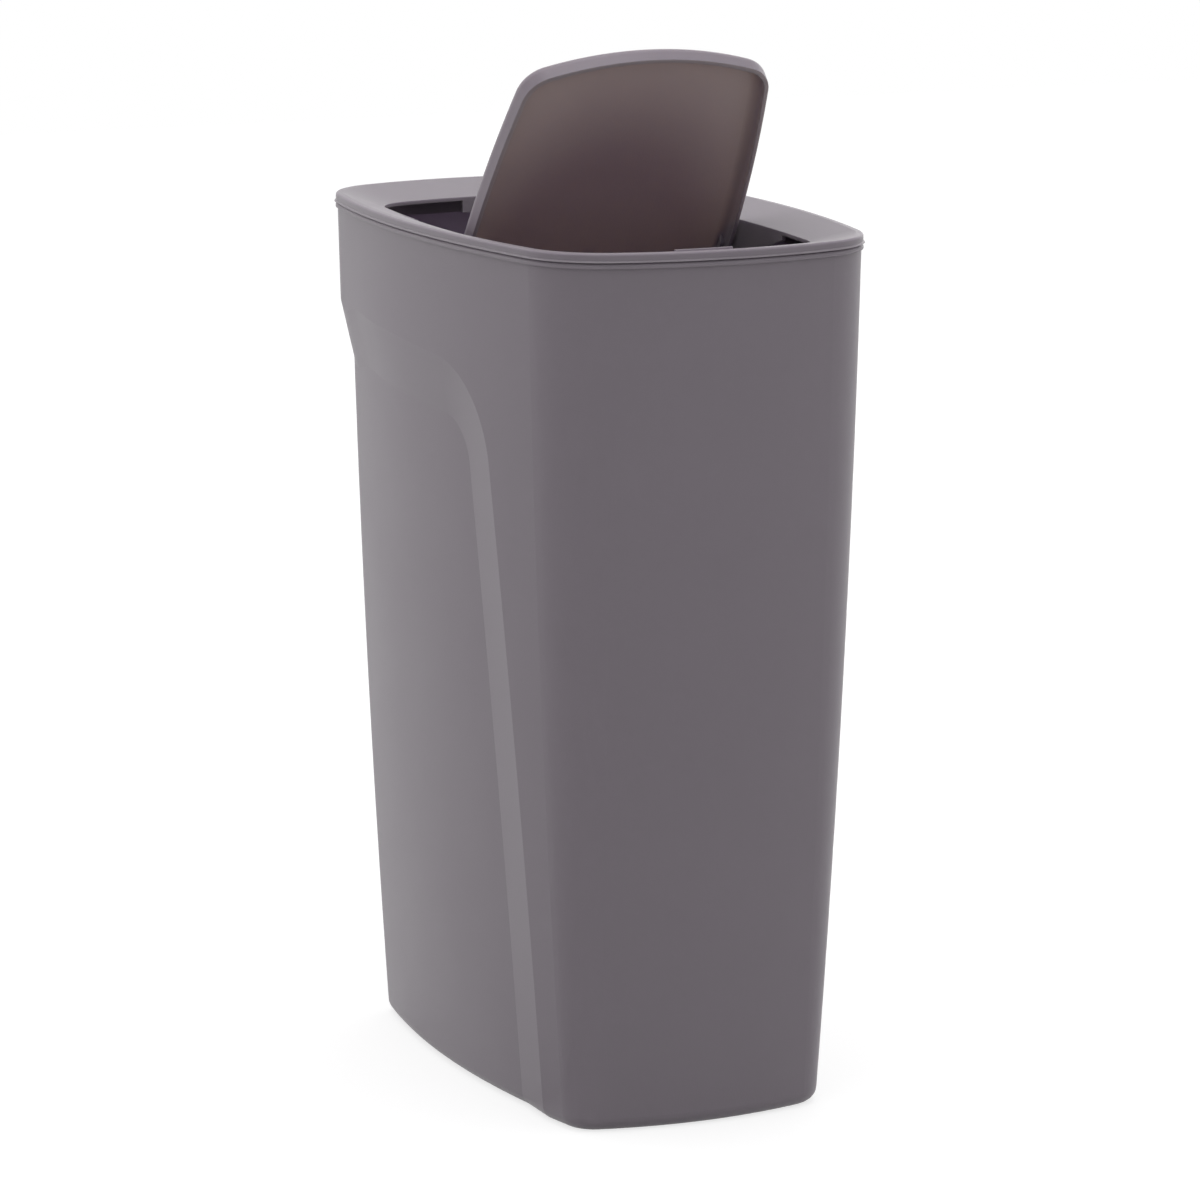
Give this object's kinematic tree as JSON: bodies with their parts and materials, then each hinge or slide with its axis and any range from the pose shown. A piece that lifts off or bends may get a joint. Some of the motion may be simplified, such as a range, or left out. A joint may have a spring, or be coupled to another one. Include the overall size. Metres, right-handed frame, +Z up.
{
  "type": "swing-lid trash can",
  "caption": "Slim tapered kitchen bin with bowed walls, a sunken panel round its back, a drop-in lid frame and a flap that swings both ways on stub pins.",
  "frame": {"origin": "middle of the base, on the floor", "axes": "+Z up; -Y is the narrow plain front face; X runs across the narrow faces, along the hinge pins of the flap"},
  "size_m": [0.1876, 0.3058, 0.4849],
  "materials": {
    "bin_plastic": "fine matte texture",
    "lid_plastic": "fine matte texture",
    "flap_plastic": "fine matte texture outside, smoother inside"
  },
  "bodies": {
    "bin": {"bin_body": "bin_plastic"},
    "lid": {"lid_frame": "lid_plastic"},
    "flap": {"swing_flap": "flap_plastic"}
  },
  "joints": [
    {"name": "lid_lift", "type": "slide", "parent": "bin", "child": "lid", "axis": [0, 0, 1], "range_m": [0, 0.15]},
    {"name": "flap_swing", "type": "hinge", "parent": "lid", "child": "flap", "pos_m": [0, 0, 0.3884], "axis": [1, 0, 0], "range_deg": [-33.4, 146.6]}
  ]
}
